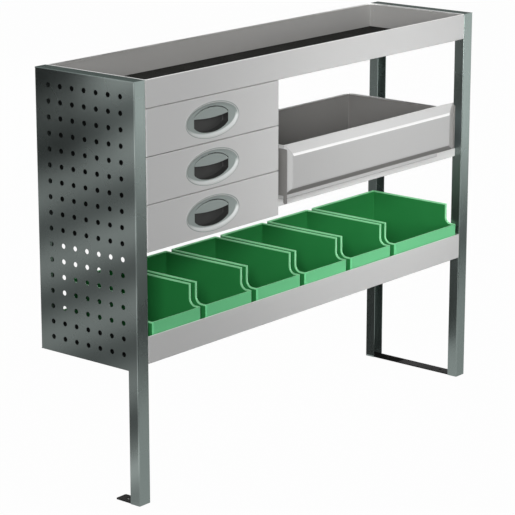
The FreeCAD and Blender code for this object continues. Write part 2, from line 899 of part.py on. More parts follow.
# Bins: open-fronted, with a stepped front and a rounded upper edge
def storage_bin(x, width):
    y = front_y + shelf_sheet + hem_thickness + bin_front_gap
    z = lower_bottom + shelf_sheet + bin_seat_gap
    rear = rear_y - shelf_sheet - hem_thickness - bin_rear_gap
    top = z + bin_height
    lip = z + bin_front_height
    outer = block(x, x + width, y, rear, z, top)
    outer = round_edges(outer, bin_corner, lambda e: near(e.Length, bin_height))
    hollow = block(x + bin_wall, x + width - bin_wall, y + bin_wall, rear - bin_wall,
                   z + bin_wall, top + overrun)
    hollow = round_edges(hollow, bin_corner, lambda e: near(middle(e).z, z + bin_wall))
    step = block(x - overrun, x + width + overrun, y - overrun, y + bin_step_depth, lip, top + overrun)
    step = round_edges(step, bin_step_radius,
                       lambda e: near(middle(e).z, lip) and near(middle(e).y, y + bin_step_depth))
    shell = cut(outer, [hollow, step])
    return round_edges(shell, bin_edge, lambda e: near(middle(e).z, top) and e.BoundBox.ZLength < bin_edge)


def bin_places():
    places = []
    x = left_inner + bin_first_gap
    gaps = bin_spacing * (len(bin_width_shares) - 1)
    room = right_inner - bin_last_gap - x - gaps
    for share in bin_width_shares:
        width = room * share / sum(bin_width_shares)
        places.append((x, width))
        x = x + width + bin_spacing
    return places


def frame_rivets():
    places = tray_rivets(-1) + tray_rivets(1) + middle_shelf_rivets() + top_flange_rivets() + bracket_rivets()
    return Part.makeCompound([rivet(start, end) for start, end in places])


def build():
    right_post = right_x - post_width
    middle_y = front_y + unit_depth / 2
    half = floor_bolt_spacing / 2
    nodes = {
        "left_front_post": front_post(left_x, -1),
        "left_rear_post": rear_post(left_x, -1, side_bottom + post_wall),
        "left_top_rail": top_rail(left_x),
        "left_bottom_rail": bottom_rail(left_x),
        "left_side_panel": side_panel(left_x),
        "left_foot_plate": floor_plate(left_x, foot_length, [front_y + (post_depth + foot_length) / 2]),
        "right_front_post": front_post(right_post, 1),
        "right_rear_post": rear_post(right_post, 1, 0),
        "right_top_rail": top_rail(right_post),
        "right_floor_bar": floor_plate(right_post, unit_depth - post_wall,
                                       [middle_y - half, middle_y + half]),
        "top_tray": top_tray(),
        "top_tray_mat": top_mat(),
        "lower_shelf": shelf_tray(lower_bottom),
        "middle_shelf": middle_shelf(),
        "block_left_side": block_side(side_left_in, left_inner, 1),
        "block_right_side": block_side(side_right_in, side_right_out, -1),
        "block_back": block_back(),
        "block_floor": block_floor(),
        "block_rails": block_rails(),
        "rail_glides": all_glides(),
        "latch_keepers": keepers(),
        "frame_rivets": frame_rivets(),
        "pullout_box": pullout_box(),
        "pullout_front": pullout_front(),
        "pullout_left_end_cap": left_end_cap(),
        "pullout_right_end_cap": right_end_cap(),
        "pullout_rails": pullout_rails(),
        "pullout_runners": pullout_runners(),
        "pullout_rail_bracket": rail_bracket(),
        "pullout_screws": pullout_screws(),
    }
    for index, name in enumerate(drawer_names):
        nodes[name + "_drawer_front"] = drawer_front(index)
        nodes[name + "_drawer_box"] = drawer_box(index)
        nodes[name + "_drawer_runners"] = drawer_runners(index)
        nodes[name + "_drawer_screws"] = drawer_screws(index)
        nodes[name + "_handle_bezel"] = handle_bezel(index)
        nodes[name + "_handle_paddle"] = handle_paddle(index)
        nodes[name + "_paddle_pin"] = paddle_pin(index)
        nodes[name + "_latch_spring"] = latch_spring(index)
    for number, (x, width) in enumerate(bin_places(), start=1):
        nodes["bin_" + str(number)] = storage_bin(x, width)
    return nodes


os.makedirs("parts", exist_ok=True)
for node, shape in build().items():
    shape.exportStep("parts/" + node + ".step")
    box = shape.BoundBox
    print(node, len(shape.Solids), shape.isValid(), round(shape.Volume),
          [round(v, 1) for v in (box.XMin, box.XMax, box.YMin, box.YMax, box.ZMin, box.ZMax)])
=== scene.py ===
import json
import math

import bmesh
import bpy
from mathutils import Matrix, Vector


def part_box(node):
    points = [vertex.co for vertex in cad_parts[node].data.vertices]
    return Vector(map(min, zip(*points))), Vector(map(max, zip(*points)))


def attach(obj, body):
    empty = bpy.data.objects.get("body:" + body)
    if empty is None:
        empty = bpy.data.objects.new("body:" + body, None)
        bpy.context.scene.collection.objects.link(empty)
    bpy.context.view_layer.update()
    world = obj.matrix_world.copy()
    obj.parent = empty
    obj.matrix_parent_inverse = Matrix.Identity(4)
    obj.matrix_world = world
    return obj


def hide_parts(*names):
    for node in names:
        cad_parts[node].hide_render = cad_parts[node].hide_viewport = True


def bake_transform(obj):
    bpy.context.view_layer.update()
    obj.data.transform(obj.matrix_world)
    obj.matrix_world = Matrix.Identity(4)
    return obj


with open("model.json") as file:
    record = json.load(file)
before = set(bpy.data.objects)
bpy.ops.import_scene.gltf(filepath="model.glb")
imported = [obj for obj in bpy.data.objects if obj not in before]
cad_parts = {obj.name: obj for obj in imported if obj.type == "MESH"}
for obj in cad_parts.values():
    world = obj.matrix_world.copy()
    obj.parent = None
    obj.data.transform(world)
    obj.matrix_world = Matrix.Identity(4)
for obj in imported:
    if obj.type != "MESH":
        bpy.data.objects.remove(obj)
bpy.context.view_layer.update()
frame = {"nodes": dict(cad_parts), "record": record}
nodes = frame["nodes"]
slotOf = {part["node"]: part["material_slot"] for part in frame["record"]["subparts"]}
mm = 0.001
near = 0.05 * mm  # how close counts as lying on a plane
axisX, axisY, axisZ = 0, 1, 2
mostly = 0.5  # share of a normal that counts as facing one way
smoothAngle = math.radians(35)  # flatter edges are shaded smooth
sharpAngle = math.radians(50)  # sharper edges are softened
mixFirst, mixSecond, mixResult = 6, 7, 2  # colour sockets of a mix node
waveSize = math.pi / 10  # metres from band to band of a wave texture at scale 1
noiseSpread = (0.3, 0.7)  # where most of a noise texture lies


# Small helpers

def linearColour(code):
    # screen colour code to the linear values that sockets take
    shades = [int(code[i:i + 2], 16) / 255 for i in (1, 3, 5)]
    linear = [s / 12.92 if s <= 0.04045 else ((s + 0.055) / 1.055) ** 2.4 for s in shades]
    return (*linear, 1.0)


def perSize(size):
    # texture scale for a pattern of this many millimetres
    return 1 / (size * mm)


def addNode(tree, kind, settings=None, sockets=None, links=None):
    node = tree.nodes.new(kind)
    for key, value in (settings or {}).items():
        setattr(node, key, value)
    for key, value in (sockets or {}).items():
        node.inputs[key].default_value = value
    for key, source in (links or {}).items():
        tree.links.new(source, node.inputs[key])
    return node


def selectOnly(piece):
    bpy.ops.object.select_all(action="DESELECT")
    piece.select_set(True)
    bpy.context.view_layer.objects.active = piece


def newPiece(name, addPrimitive, **place):
    bpy.ops.object.select_all(action="DESELECT")
    addPrimitive(**place)
    piece = bpy.context.active_object
    piece.name = name
    piece.data.name = name
    bpy.ops.object.transform_apply(location=True, rotation=True, scale=True)
    bpy.ops.object.mode_set(mode="EDIT")
    bpy.ops.mesh.select_mode(type="VERT")
    bpy.ops.mesh.select_all(action="SELECT")
    return piece


def newBox(name, lo, hi):
    return newPiece(name, bpy.ops.mesh.primitive_cube_add, size=1, location=(lo + hi) / 2, scale=hi - lo)


def drawOutline(name, x, path):
    # one point, drawn on through these (y, z) places
    piece = newPiece(name, bpy.ops.mesh.primitive_plane_add, size=mm, location=(x, *path[0]))
    bpy.ops.mesh.merge(type="CENTER")
    for here, there in zip(path, path[1:]):
        move = (0, there[0] - here[0], there[1] - here[1])
        bpy.ops.mesh.extrude_vertices_move(TRANSFORM_OT_translate={"value": move})
    return piece


def corners(part):
    return [part.co] if isinstance(part, bmesh.types.BMVert) else [v.co for v in part.verts]


def middle(part):
    points = corners(part)
    return sum(points, Vector()) / len(points)


def lies(part, axis, value):
    return all(abs(point[axis] - value) < near for point in corners(part))


def runsAlong(edge, axis):
    start, end = corners(edge)
    return abs(start[axis] - end[axis]) > near


def pick(kind, wanted):
    bpy.ops.mesh.select_mode(type=kind)
    bpy.ops.mesh.select_all(action="DESELECT")
    mesh = bmesh.from_edit_mesh(bpy.context.edit_object.data)
    parts = {"VERT": mesh.verts, "EDGE": mesh.edges, "FACE": mesh.faces}[kind]
    for part in parts:
        if wanted(part):
            part.select_set(True)
    bmesh.update_edit_mesh(bpy.context.edit_object.data)


def deleteFaces(wanted):
    pick("FACE", wanted)
    bpy.ops.mesh.delete(type="FACE")


def bevelEdges(wanted, radius, segments):
    pick("EDGE", wanted)
    bpy.ops.mesh.bevel(offset=radius * mm, segments=segments, affect="EDGES")


def pull(move):
    bpy.ops.mesh.extrude_region_move(TRANSFORM_OT_translate={"value": move})


def evenNormals():
    bpy.ops.mesh.select_all(action="SELECT")
    bpy.ops.mesh.normals_make_consistent(inside=False)


def closeEdit():
    evenNormals()
    bpy.ops.object.mode_set(mode="OBJECT")


def applyModifier(piece, kind, **settings):
    modifier = piece.modifiers.new(kind.lower(), kind)
    for key, value in settings.items():
        setattr(modifier, key, value)
    bpy.ops.object.modifier_apply(modifier=modifier.name)


def thicken(piece, thickness, even=True):
    applyModifier(piece, "SOLIDIFY", thickness=thickness * mm, offset=-1, use_even_offset=even)


def softenEdges(piece, width, **more):
    applyModifier(piece, "BEVEL", width=width * mm, segments=2, limit_method="ANGLE", angle_limit=sharpAngle,
                  **more)


def paintFaces(piece, index, wanted):
    bpy.ops.object.mode_set(mode="EDIT")
    pick("FACE", wanted)
    piece.active_material_index = index
    bpy.ops.object.material_slot_assign()
    bpy.ops.object.mode_set(mode="OBJECT")


def joinInto(piece, others):
    selectOnly(piece)
    for other in others:
        other.select_set(True)
    bpy.ops.object.join()


def copyPiece(piece, name, move):
    twin = piece.copy()
    twin.data = piece.data.copy()
    twin.name = name
    twin.data.name = name
    bpy.context.scene.collection.objects.link(twin)
    selectOnly(twin)
    twin.location = move
    bpy.ops.object.transform_apply(location=True, rotation=True, scale=True)
    return twin


def hang(piece, node, body, bend=None):
    # puts the piece in the place of its node, on the body that carries it; with a bend it is only fixed in
    # place, and the bend is not read
    selectOnly(piece)
    bpy.ops.object.shade_smooth_by_angle(angle=smoothAngle)
    applyModifier(piece, "WEIGHTED_NORMAL", weight=50, keep_sharp=True)  # flat faces stay flat beside bends
    if bend:
        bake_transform(piece)
    else:
        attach(piece, body)
    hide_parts(node)


# Finishes

def emptyMaterial(name):
    material = bpy.data.materials.new(name)
    material.use_nodes = True
    material.node_tree.nodes.clear()
    return material, material.node_tree


def makeFinish(name, look):
    material, tree = emptyMaterial(name)
    coords = addNode(tree, "ShaderNodeTexCoord")
    place = coords.outputs["Object"]
    patches = addNode(tree, "ShaderNodeTexNoise",
                      sockets={"Scale": perSize(look["patch"]), "Detail": 3.0}, links={"Vector": place})
    grain = addNode(tree, "ShaderNodeTexNoise",
                    sockets={"Scale": perSize(look["grain"]), "Detail": 2.0}, links={"Vector": place})
    colour = addNode(tree, "ShaderNodeMix", settings={"data_type": "RGBA"},
                     sockets={mixFirst: linearColour(look["colour"]), mixSecond: linearColour(look["tint"])},
                     links={"Factor": patches.outputs["Fac"]})
    paint = colour.outputs[mixResult]
    if "paintedLightFacing" in look:
        # painted light: paler where the surface faces this way
        paintedLightFacing = look["paintedLightFacing"]
        facing = addNode(tree, "ShaderNodeVectorMath", settings={"operation": "DOT_PRODUCT"},
                         sockets={1: paintedLightFacing["way"]}, links={0: coords.outputs["Normal"]})
        share = addNode(tree, "ShaderNodeMapRange", links={"Value": facing.outputs["Value"]},
                        sockets={"From Min": paintedLightFacing["from"], "From Max": paintedLightFacing["to"]})
        paler = addNode(tree, "ShaderNodeMix", settings={"data_type": "RGBA"},
                        sockets={mixSecond: linearColour(paintedLightFacing["colour"])},
                        links={"Factor": share.outputs["Result"], mixFirst: paint})
        paint = paler.outputs[mixResult]
    # painted sheen: slanting light and dark bands of painted reflection
    if "paintedSheenBands" in look:
        paintedSheenBands = look["paintedSheenBands"]
        slant = addNode(tree, "ShaderNodeMapping", links={"Vector": place},
                        sockets={"Rotation": (math.radians(paintedSheenBands["lean"]), 0, 0),
                                 "Location": (0, 0, paintedSheenBands["shift"] * mm)})
        wave = addNode(tree, "ShaderNodeTexWave", settings={"bands_direction": "Z"},
                       sockets={"Scale": waveSize * perSize(paintedSheenBands["size"]), "Distortion": paintedSheenBands["wander"],
                                "Detail": 1.0, "Detail Scale": 0.6},
                       links={"Vector": slant.outputs["Vector"]})
        tones = addNode(tree, "ShaderNodeMix", settings={"data_type": "RGBA"},
                        sockets={mixFirst: linearColour(paintedSheenBands["dark"]),
                                 mixSecond: linearColour(paintedSheenBands["light"])},
                        links={"Factor": wave.outputs["Fac"]})
        # the painted sheen bands: only faces that look left or right have them
        way = addNode(tree, "ShaderNodeSeparateXYZ", links={"Vector": coords.outputs["Normal"]})
        side = addNode(tree, "ShaderNodeMath", settings={"operation": "ABSOLUTE"},
                       links={0: way.outputs["X"]})
        banded = addNode(tree, "ShaderNodeMix", settings={"data_type": "RGBA"},
                         links={"Factor": side.outputs["Value"], mixFirst: paint,
                                mixSecond: tones.outputs[mixResult]})
        paint = banded.outputs[mixResult]
    rough = addNode(tree, "ShaderNodeMapRange", links={"Value": patches.outputs["Fac"]},
                    sockets={"From Min": noiseSpread[0], "From Max": noiseSpread[1],
                             "To Min": look["rough"][0], "To Max": look["rough"][1]})
    bump = addNode(tree, "ShaderNodeBump", links={"Height": grain.outputs["Fac"]},
                   sockets={"Strength": look["relief"], "Distance": look["height"] * mm})
    shader = addNode(tree, "ShaderNodeBsdfPrincipled",
                     sockets={"Metallic": look.get("metallic", 0.0), "Coat Weight": look.get("coat", 0.0),
                              "Specular IOR Level": look.get("sheen", 0.5),
                              "Specular Tint": linearColour(look.get("edgeTint", "#ffffff"))},
                     links={"Base Color": paint, "Roughness": rough.outputs["Result"],
                            "Normal": bump.outputs["Normal"]})
    addNode(tree, "ShaderNodeOutputMaterial", links={"Surface": shader.outputs["BSDF"]})
    return material


looks = {
    # metal-flake powder coat: lifts where it mirrors the lamps, almost black elsewhere
    "anthraciteFlakeCoat": {
        "colour": "#7a8481", "tint": "#818b88", "patch": 160, "grain": 2.5, "rough": (0.24, 0.30),
        "relief": 0.25, "height": 0.05, "metallic": 0.92, "edgeTint": "#6c706f",
    },
    # the same on the broad left end, with painted sheen: soft slanting bands of painted reflection
    "paintedSheenFlakeCoat": {
        "colour": "#7a8481", "tint": "#818b88", "patch": 160, "grain": 2.5, "rough": (0.24, 0.30),
        "relief": 0.25, "height": 0.05, "metallic": 0.92, "edgeTint": "#6c706f",
        "paintedSheenBands": {"size": 168, "lean": 25, "shift": 43, "wander": 0.8,
                  "dark": "#6f7775", "light": "#9da7a4"},
    },
    # smooth powder coat on sheet: an even pale grey with a faint orange peel
    "paleGreyPowderCoat": {
        "colour": "#c4c4c4", "tint": "#c9c9c8", "patch": 220, "grain": 2.2, "rough": (0.36, 0.44),
        "relief": 0.2, "height": 0.04, "sheen": 0.3,
    },
    # painted shade on the pull-out front and box: the same coat a shade darker
    "paintedShadeGreyCoat": {
        "colour": "#acacac", "tint": "#b1b1b0", "patch": 220, "grain": 2.2, "rough": (0.36, 0.44),
        "relief": 0.2, "height": 0.04, "sheen": 0.3,
    },
    # and on the middle shelf, painted light where the pull-out front shades its lip: almost white
    "paintedLightGreyCoat": {
        "colour": "#d6d6d5", "tint": "#d0d0cf", "patch": 220, "grain": 2.2, "rough": (0.36, 0.44),
        "relief": 0.2, "height": 0.04, "sheen": 0.3,
    },
    # painted highlight on the folded upper edges: bright bare metal, thin white lines round the trays
    "paintedHighlightFold": {
        "colour": "#f2f2f1", "tint": "#e9e9e8", "patch": 60, "grain": 2.2, "rough": (0.30, 0.40),
        "relief": 0.2, "height": 0.04, "metallic": 1.0,
    },
    # painted shade inside the trays: the same coat, duller and darker
    "paintedShadeGreyInside": {
        "colour": "#a1a09e", "tint": "#a7a6a4", "patch": 180, "grain": 2.2, "rough": (0.50, 0.60),
        "relief": 0.2, "height": 0.04, "sheen": 0.3,
    },
    # painted shade in the deep pull-out box and on the underside of its front: dark grey
    "paintedDeepShadeInside": {
        "colour": "#72716f", "tint": "#787775", "patch": 120, "grain": 2.2, "rough": (0.55, 0.65),
        "relief": 0.2, "height": 0.04, "sheen": 0.3,
    },
    # painted shade on the ends behind the perforated panel, nearly black, so the holes look dark
    "paintedShadeBlack": {
        "colour": "#1d1f1e", "tint": "#232524", "patch": 90, "grain": 2.0, "rough": (0.70, 0.80),
        "relief": 0.2, "height": 0.04, "sheen": 0.15,
    },
    # brushed-on black floor paint: deep black with a dull shine
    "blackFloorPaint": {
        "colour": "#121211", "tint": "#171716", "patch": 60, "grain": 3.0, "rough": (0.60, 0.72),
        "relief": 0.3, "height": 0.08, "sheen": 0.15,
    },
    # moulded rubber: soft black that drinks the light
    "ribbedBlackRubber": {
        "colour": "#1a1a18", "tint": "#20201d", "patch": 40, "grain": 1.5, "rough": (0.75, 0.90),
        "relief": 0.3, "height": 0.05, "sheen": 0.2,
    },
    # bright zinc plating: cool grey metal with a cloudy bloom
    "zincPlatedSteel": {
        "colour": "#b9bcc0", "tint": "#a6aab0", "patch": 12, "grain": 2.0, "rough": (0.30, 0.48),
        "relief": 0.1, "height": 0.02, "metallic": 1.0,
    },
    # moulded nylon: waxy off-white
    "waxyNylon": {
        "colour": "#d9d7d0", "tint": "#e0ded7", "patch": 30, "grain": 1.2, "rough": (0.40, 0.50),
        "relief": 0.1, "height": 0.02,
    },
    # satin moulded plastic of the paddles: grey-green with a broad soft shine
    "greenGreyPlastic": {
        "colour": "#8f9895", "tint": "#959e9b", "patch": 70, "grain": 1.4, "rough": (0.34, 0.42),
        "relief": 0.15, "height": 0.03, "sheen": 0.2,
    },
    # the same in the dishes, with painted light: much paler on the lower banks, which face up and to the left
    "paintedLightGreyPlastic": {
        "colour": "#8f9895", "tint": "#959e9b", "patch": 70, "grain": 1.4, "rough": (0.30, 0.38),
        "relief": 0.15, "height": 0.03, "sheen": 0.2,
        "paintedLightFacing": {"way": (-0.5, 0, 0.87), "from": 0.06, "to": 0.3, "colour": "#d2d6d5"},
    },
    # painted shade inside the pocket: the same plastic near black, with a coarse spark texture
    "paintedShadePocketPlastic": {
        "colour": "#232322", "tint": "#282928", "patch": 30, "grain": 1.4, "rough": (0.55, 0.65),
        "relief": 0.3, "height": 0.05,
    },
    # moulded end caps: warm dark grey, matt
    "warmGreyPlastic": {
        "colour": "#6d6c6a", "tint": "#747371", "patch": 40, "grain": 1.4, "rough": (0.45, 0.55),
        "relief": 0.2, "height": 0.04,
    },
    # polypropylene: deep green in the shade of the bins
    "deepGreenPlastic": {
        "colour": "#23753a", "tint": "#277d40", "patch": 90, "grain": 1.8, "rough": (0.38, 0.48),
        "relief": 0.2, "height": 0.04, "sheen": 0.3,
    },
    # painted light on the moulded lips: thin light lines along the bin edges
    "paintedLitGreenEdge": {
        "colour": "#94dfa8", "tint": "#8bd8a0", "patch": 25, "grain": 1.8, "rough": (0.35, 0.45),
        "relief": 0.2, "height": 0.04,
    },
    # painted light on the bin fronts: a milkier green
    "paintedLitGreenFront": {
        "colour": "#68c287", "tint": "#6cc68b", "patch": 120, "grain": 1.8, "rough": (0.34, 0.42),
        "relief": 0.15, "height": 0.03, "sheen": 0.3,
    },
}
finishes = {name: makeFinish(name, look) for name, look in looks.items()}
finishOfSlot = {"frame_paint": "anthraciteFlakeCoat", "grey_paint": "paleGreyPowderCoat",
                "rubber": "ribbedBlackRubber", "black_paint": "blackFloorPaint",
                "zinc_steel": "zincPlatedSteel", "nylon": "waxyNylon", "handle_plastic": "greenGreyPlastic",
                "cap_plastic": "warmGreyPlastic", "green_plastic": "deepGreenPlastic"}


def dress(piece, *names):
    piece.data.materials.clear()
    for name in names:
        piece.data.materials.append(finishes[name])


for nodeName, node in nodes.items():
    dress(node, finishOfSlot[slotOf[nodeName]])
# painted shade: the drawer block's left side nearly black behind the perforated panel
dress(nodes["block_left_side"], "paintedShadeBlack")
# the left end's frame and panel carry the painted sheen bands
for nodeName in ("left_side_panel", "left_front_post", "left_rear_post", "left_top_rail", "left_bottom_rail"):
    dress(nodes[nodeName], "paintedSheenFlakeCoat")
print("finishes made and CAD pieces dressed")


# Folded sheet trays: top tray, lower shelf, middle shelf

def makeTray(name, node, body, look):
    lo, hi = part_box(node)
    tray = newBox(name, lo, hi)
    deleteFaces(lambda face: lies(face, axisZ, hi.z))
    bevelEdges(lambda edge: runsAlong(edge, axisZ) or lies(edge, axisZ, lo.z), look["bend"], look["segments"])
    pick("EDGE", lambda edge: lies(edge, axisZ, hi.z))
    fold = 2 * look["hemInset"] * mm
    pull((0, 0, 0))
    bpy.ops.transform.resize(value=(1 - fold / (hi.x - lo.x), 1 - fold / (hi.y - lo.y), 1),
                             center_override=(lo + hi) / 2)
    for drop in look["hem"]:
        pull((0, 0, -drop * mm))
    bevelEdges(lambda edge: lies(edge, axisZ, hi.z) and len(edge.link_faces) == 2
               and any(face.normal.z < mostly for face in edge.link_faces), look["topBend"], look["segments"])
    closeEdit()
    thicken(tray, look["sheet"])
    softenEdges(tray, look["edge"])
    dress(tray, *look["finishes"])
    gap = look["insideFrom"] * mm
    # painted shade on the inner faces
    paintFaces(tray, 1, lambda face: all(lo[i] + gap < middle(face)[i] < hi[i] - gap for i in (0, 1, 2)))
    # painted highlight along the upper fold
    paintFaces(tray, 2, lambda face: middle(face).z > hi.z - look["brightFold"] * mm)
    # painted shade on the left outer face, behind the perforated panel
    paintFaces(tray, 3, lambda face: lies(face, axisX, lo.x))
    hang(tray, node, body)


# finishes: outside, inside (painted shade), upper fold (painted highlight), left end (painted shade)
trayLook = {"sheet": 0.9, "bend": 2.2, "segments": 3, "hem": (3.5, 5.5), "hemInset": 3, "topBend": 0.9,
            "edge": 0.25, "brightFold": 3.6, "insideFrom": 0.54,
            "finishes": ("paleGreyPowderCoat", "paintedShadeGreyInside", "paintedHighlightFold", "paintedShadeBlack")}
# the middle shelf all in the painted-light grey, its fold too
shelfLook = {**trayLook, "finishes": ("paintedLightGreyCoat", "paintedShadeGreyInside", "paintedLightGreyCoat",
                                      "paintedShadeBlack")}
makeTray("topTray", "top_tray", "frame", trayLook)
makeTray("lowerShelf", "lower_shelf", "frame", trayLook)
makeTray("middleShelf", "middle_shelf", "frame", shelfLook)
print("trays folded")


# Ribbed rubber mat in the top tray

matLook = {"base": 2.2, "edgeRound": 0.5, "ribPitch": 4.0, "ribWidth": 2.2, "ribRound": 0.6, "ribInset": 1,
           "ribSink": 0.3, "segments": 2}


def makeMat(look):
    lo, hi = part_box("top_tray_mat")
    baseTop = lo.z + look["base"] * mm
    mat = newBox("trayMat", lo, Vector((hi.x, hi.y, baseTop)))
    bevelEdges(lambda edge: lies(edge, axisZ, baseTop), look["edgeRound"], look["segments"])
    closeEdit()
    count = int((hi.y - lo.y) / (look["ribPitch"] * mm))
    margin = ((hi.y - lo.y) - ((count - 1) * look["ribPitch"] + look["ribWidth"]) * mm) / 2
    inset = look["ribInset"] * mm
    ribLo = Vector((lo.x + inset, lo.y + margin, baseTop - look["ribSink"] * mm))
    ribHi = Vector((hi.x - inset, lo.y + margin + look["ribWidth"] * mm, hi.z))
    rib = newBox("trayMatRib", ribLo, ribHi)
    bevelEdges(lambda edge: lies(edge, axisZ, ribHi.z), look["ribRound"], look["segments"])
    deleteFaces(lambda face: lies(face, axisZ, ribLo.z))
    closeEdit()
    applyModifier(rib, "ARRAY", count=count, use_relative_offset=False, use_constant_offset=True,
                  constant_offset_displace=(0, look["ribPitch"] * mm, 0))
    joinInto(mat, [rib])
    dress(mat, "ribbedBlackRubber")
    hang(mat, "top_tray_mat", "frame")


makeMat(matLook)
print("mat ribbed")


# Pull-out drawer: box, front with raised field, end caps

# the pull-out box: painted shade grey outside and at its left end, deeper painted shade inside, a painted
# highlight on its fold
boxLook = {"sheet": 0.8, "bend": 1.6, "segments": 3, "hem": (3.5, 4.5), "hemInset": 2.4, "topBend": 0.8,
           "edge": 0.2, "brightFold": 3.6, "insideFrom": 0.48,
           "finishes": ("paintedShadeGreyCoat", "paintedDeepShadeInside", "paintedHighlightFold", "paintedShadeGreyCoat")}
makeTray("pulloutBox", "pullout_box", "pullout_drawer", boxLook)

frontLook = {"left": 18, "right": 34, "top": 25.4, "bottom": 15, "field": 12.4, "bend": 5, "segments": 6,
             "flange": 15, "sheet": 1.2,
             # shares of the normals by which the bevels and folds are told apart
             "forward": -0.8, "sideways": 0.1, "brightRise": (0.08, 0.38),
             "outside": -0.1, "lowerTilt": -0.3, "rightTilt": 0.15}


def makePulloutFront(look):
    lo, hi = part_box("pullout_front")
    size = hi - lo
    back = Vector(((lo.x + hi.x) / 2, hi.y, (lo.z + hi.z) / 2))
    front = newPiece("pulloutFront", bpy.ops.mesh.primitive_plane_add, size=1, rotation=(math.pi / 2, 0, 0),
                     location=back)
    bpy.ops.transform.resize(value=(size.x, 1, size.z), center_override=back)
    fieldX = size.x - (look["left"] + look["right"]) * mm
    fieldZ = size.z - (look["top"] + look["bottom"]) * mm
    pull((0, -look["field"] * mm, 0))
    bpy.ops.transform.resize(value=(fieldX / size.x, 1, fieldZ / size.z), center_override=(lo + hi) / 2)
    bpy.ops.transform.translate(value=((look["left"] - look["right"]) / 2 * mm, 0,
                                       (look["bottom"] - look["top"]) / 2 * mm))
    deleteFaces(lambda face: lies(face, axisY, hi.y))
    bevelEdges(lambda edge: any(abs(point.y - lo.y) < near for point in corners(edge)),
               look["bend"], look["segments"])
    # back flanges along the upper and lower edges
    for edgeZ, way in ((hi.z, -1), (lo.z, 1)):
        pick("EDGE", lambda edge: lies(edge, axisZ, edgeZ) and lies(edge, axisY, hi.y))
        pull((0, 0, way * look["flange"] * mm))
    closeEdit()
    thicken(front, look["sheet"])
    # the front in painted shade grey, with painted highlight, painted light and painted shade for its fold
    # and bevels
    dress(front, "paintedShadeGreyCoat", "paintedHighlightFold", "paleGreyPowderCoat", "paintedDeepShadeInside",
          "paintedShadeGreyInside")
    # the rounded fold under the upper bevel gets a painted highlight, and the bevel a little painted light
    flattest, steepest = look["brightRise"]
    for index, low, high in ((1, flattest, steepest), (2, steepest, 1)):
        paintFaces(front, index, lambda face: face.normal.y < look["forward"] and low < face.normal.z < high
                   and abs(face.normal.x) < look["sideways"])
    # painted shade on the lower and the right bevel
    paintFaces(front, 3, lambda face: face.normal.y < look["outside"] and face.normal.z < look["lowerTilt"])
    paintFaces(front, 4, lambda face: face.normal.y < look["outside"] and face.normal.x > look["rightTilt"])
    hang(front, "pullout_front", "pullout_drawer")


makePulloutFront(frontLook)

capLook = {"left": {"frontDepth": 10, "tail": 20, "round": 4.0, "segments": 6, "edge": 0.6},
           "right": {"strip": 3, "lip": 2, "edge": 0.5}}


def finishCap(cap, node, edge):
    closeEdit()
    softenEdges(cap, edge)
    dress(cap, "warmGreyPlastic")
    hang(cap, node, "pullout_drawer")


def makeLeftCap(look):
    lo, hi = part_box("pullout_left_end_cap")
    plateLow = lo.z + look["tail"] * mm
    tailBack = lo.y + look["frontDepth"] * mm
    cap = newBox("pulloutLeftCap", Vector((lo.x, lo.y, plateLow)), hi)
    bpy.ops.mesh.bisect(plane_co=(lo.x, tailBack, lo.z), plane_no=(0, 1, 0))
    pick("FACE", lambda face: lies(face, axisZ, plateLow) and middle(face).y < tailBack)
    pull((0, 0, lo.z - plateLow))
    bevelEdges(lambda edge: runsAlong(edge, axisX) and (lies(edge, axisZ, lo.z) or (
        lies(edge, axisZ, hi.z) and not lies(edge, axisY, tailBack))), look["round"], look["segments"])
    finishCap(cap, "pullout_left_end_cap", look["edge"])


def makeRightCap(look):
    lo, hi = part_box("pullout_right_end_cap")
    stripLeft = hi.x - look["strip"] * mm
    lipFront = hi.y - look["lip"] * mm
    cap = newBox("pulloutRightCap", Vector((stripLeft, lo.y, lo.z)), hi)
    bpy.ops.mesh.bisect(plane_co=(lo.x, lipFront, lo.z), plane_no=(0, 1, 0))
    pick("FACE", lambda face: lies(face, axisX, stripLeft) and middle(face).y > lipFront)
    pull((lo.x - stripLeft, 0, 0))
    finishCap(cap, "pullout_right_end_cap", look["edge"])


makeLeftCap(capLook["left"])
makeRightCap(capLook["right"])
print("pull-out drawer made")


# Green storage bins

binLook = {"lipHeight": 93.5, "stepDepth": 32, "stepRadius": 15.5, "arcSteps": 8, "wall": 4, "corner": 5,
           "segments": 4, "edge": 0.8, "rim": 3.5}
rimPaint = 1  # place of the lips' finish in a bin's list


